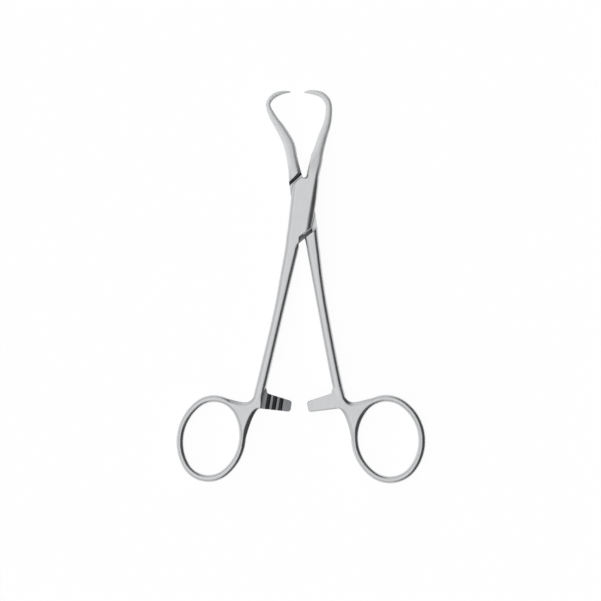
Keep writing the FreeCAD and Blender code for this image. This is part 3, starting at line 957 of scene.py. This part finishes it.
# Clears the toothed face back to the step in the shank.
def stepCutter(arm):
    tip, inward, down = barFrame(arm)
    crest = middle + arm["side"] * bar["play"]
    clear = crest - arm["side"] * (lock["boxThickness"] / 2 + cutMargin)
    above = -bar["rootWidth"] / 2 - bar["stepLap"][0]
    below = bar["rootWidth"] / 2 + bar["stepLap"][1]
    far = arm["barLength"] - bar["step"]
    corners = [(-cutMargin, above), (far - bar["stepRunOut"], above),
               (far, -bar["rootWidth"] / 2), (far, below), (-cutMargin, below)]
    outline = [tip + inward * along + down * across for along, across in corners]
    return slabObject("step", outline, min(crest, clear), max(crest, clear))


# Shades the curved skin smooth and keeps edges that turn by more than the angle sharp.
def crispEdges(obj, angle=40):
    bpy.context.view_layer.objects.active = obj
    obj.select_set(True)
    bpy.ops.object.shade_smooth_by_angle(angle=math.radians(angle))
    obj.select_set(False)


boxPiece = forge("boxArmForging", boxArm)
# The crotches, slots, step and tooth gaps take the milled material, whose dark grey is painted
# shade.
mill(boxPiece, [
    bevelCutter(),
    crotchCutter(jawCrotchOutline(0), jawCrotchOutline(lock["crotchDraft"])),
    crotchCutter(shankCrotchOutline()),
    *[dullAndShaded(slot) for slot in slotCutters()],
    boreCutter(lock["pinRadius"]),
    dullAndShaded(stepCutter(boxArm)),
    *[dullAndShaded(gap) for gap in toothCutters(boxArm)],
])
crispEdges(boxPiece)
print("box arm milled")

tenonPiece = forge("tenonArmForging", tenonArm)
# The grooves, heel, step and tooth gaps take the milled material, whose dark grey is painted
# shade.
mill(tenonPiece, [
    *cheekCutters(),
    *shoulderGrooves(),
    boreCutter(lock["pinRadius"] + lock["pinPlay"]),
    dullAndShaded(stepCutter(tenonArm)),
    *[dullAndShaded(gap) for gap in toothCutters(tenonArm)],
], [dullAndShaded(heelSlab())])
crispEdges(tenonPiece)
print("tenon arm milled")

pinPiece = roundCutter("pivotPin", lock["pinRadius"], 0, lock["boxThickness"], lock["pinSides"])
pinPiece.data.materials.append(groundSteel)
crispEdges(pinPiece)

for piece, node, body, slotName in (
    (boxPiece, "box_arm", "box_half", "satin_steel"),
    (tenonPiece, "tenon_arm", "tenon_half", "satin_steel"),
    (pinPiece, "pivot_pin", "box_half", "ground_steel"),
):
    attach(piece, body)
    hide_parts(node)
print("pieces take the places of the solids")

# Camera: straight down, as in the photograph.
view = {
    "pixels": 601,  # width and height of the photograph
    "pixelSize": 0.3409,  # mm
    "pinPixel": (302.9, 206.5),  # where the pin is in it, from the upper left
    "distance": 900.0,
    "sensor": 36.0,
}
frameWidth = view["pixels"] * view["pixelSize"]
centreX = (view["pixels"] / 2 - view["pinPixel"][0]) * view["pixelSize"]
centreY = (view["pinPixel"][1] - view["pixels"] / 2) * view["pixelSize"]
camera = addObject("camera", bpy.data.cameras.new("camera"))
camera.data.sensor_width = view["sensor"]
camera.data.lens = view["sensor"] * view["distance"] / frameWidth
camera.location = Vector((centreX, centreY, middle + view["distance"])) * mm
bpy.context.scene.camera = camera

# Floor
studio = {
    "floorSize": 4000.0,
    "floorColour": "#F2F2F2",
    "floorGlow": 1.06,  # just past white
    "floorShade": 0.12,  # how much of the object's shadow shows on the white
}


# White paper: pure white to the camera, with a breath of the object's shadow.
def floorMaterial():
    material = bpy.data.materials.new("whitePaper")
    material.use_nodes = True
    tree = material.node_tree
    tree.nodes.clear()
    matte = addNode(tree, "ShaderNodeBsdfDiffuse", None, {"Color": linear(studio["floorColour"])})
    glow = addNode(tree, "ShaderNodeEmission", None,
                   {"Color": (1, 1, 1, 1), "Strength": studio["floorGlow"]})
    path = addNode(tree, "ShaderNodeLightPath")
    either = addNode(tree, "ShaderNodeMath", {"operation": "MAXIMUM"}, None,
                     {0: path.outputs["Is Camera Ray"], 1: path.outputs["Is Glossy Ray"]})
    seen = addNode(tree, "ShaderNodeMath", {"operation": "MAXIMUM"}, None,
                   {0: either.outputs[0], 1: path.outputs["Is Transmission Ray"]})
    share = addNode(tree, "ShaderNodeMath", {"operation": "MULTIPLY"},
                    {1: 1 - studio["floorShade"]}, {0: seen.outputs[0]})
    mix = addNode(tree, "ShaderNodeMixShader", None, None,
                  {0: share.outputs[0], 1: matte.outputs[0], 2: glow.outputs[0]})
    addNode(tree, "ShaderNodeOutputMaterial", None, None, {"Surface": mix.outputs[0]})
    return material


floorReach = studio["floorSize"] / 2
floorCorners = [Vector((x, y, 0)) * floorReach for x, y in ((-1, -1), (1, -1), (1, 1), (-1, 1))]
floor = newObject("floor", floorCorners, [(0, 1, 2, 3)])
floor.data.materials.append(floorMaterial())


# A tent of light round the object: bright overhead but for the camera's hole, grey at the ends,
# and open to a dark room low on the right. Each row of a ramp is a position from one end of the
# axis to the other, and a level.
tent = {
    "acrossRamp": [(0.0, 0.6), (0.25, 0.8), (0.43, 1.02), (0.56, 1.05),
                   (0.635, 0.36), (0.69, 0.04), (0.9, 0.04), (1.0, 0.2)],
    "alongRamp": [(0.0, 0.45), (0.25, 0.78), (0.4, 1.0), (0.6, 1.0), (0.8, 0.8), (1.0, 0.5)],
    "ringLevel": 1.18,  # round the camera's hole
    "holeLevel": 1.0,
    "holeEdge": 0.91,  # height on a unit dome
}


def tentRamp(tree, value, stops):
    spread = addNode(tree, "ShaderNodeMapRange", None, {"From Min": -1.0, "From Max": 1.0},
                     {"Value": value})
    ramp = addNode(tree, "ShaderNodeValToRGB", None, None, {"Fac": spread.outputs["Result"]})
    elements = ramp.color_ramp.elements
    while len(elements) < len(stops):
        elements.new(0.5)
    for element, (position, level) in zip(elements, stops):
        element.position = position
        element.color = (level, level, level, 1)
    return ramp.outputs["Color"]


def tentWorld():
    world = bpy.data.worlds.new("lightTent")
    bpy.context.scene.world = world
    world.use_nodes = True
    tree = world.node_tree
    tree.nodes.clear()
    place = addNode(tree, "ShaderNodeTexCoord")
    way = addNode(tree, "ShaderNodeSeparateXYZ", None, None,
                  {"Vector": place.outputs["Generated"]})
    across = tentRamp(tree, way.outputs["X"], tent["acrossRamp"])
    along = tentRamp(tree, way.outputs["Y"], tent["alongRamp"])
    hole = addNode(tree, "ShaderNodeMapRange", {"interpolation_type": "SMOOTHSTEP"},
                   {"From Min": tent["holeEdge"], "From Max": 1.0, "To Min": tent["ringLevel"],
                    "To Max": tent["holeLevel"]}, {"Value": way.outputs["Z"]})
    level = multiplied(tree, multiplied(tree, across, along), hole.outputs["Result"])
    cloth = addNode(tree, "ShaderNodeBackground", None, {"Strength": 1.0}, {"Color": level})
    white = addNode(tree, "ShaderNodeBackground", None, {"Color": (1, 1, 1, 1), "Strength": 1.0})
    path = addNode(tree, "ShaderNodeLightPath")
    mix = addNode(tree, "ShaderNodeMixShader", None, None,
                  {0: path.outputs["Is Camera Ray"], 1: cloth.outputs[0], 2: white.outputs[0]})
    addNode(tree, "ShaderNodeOutputWorld", None, None, {"Surface": mix.outputs[0]})


tentWorld()
bpy.context.scene.view_settings.view_transform = "Standard"
print("stage set")
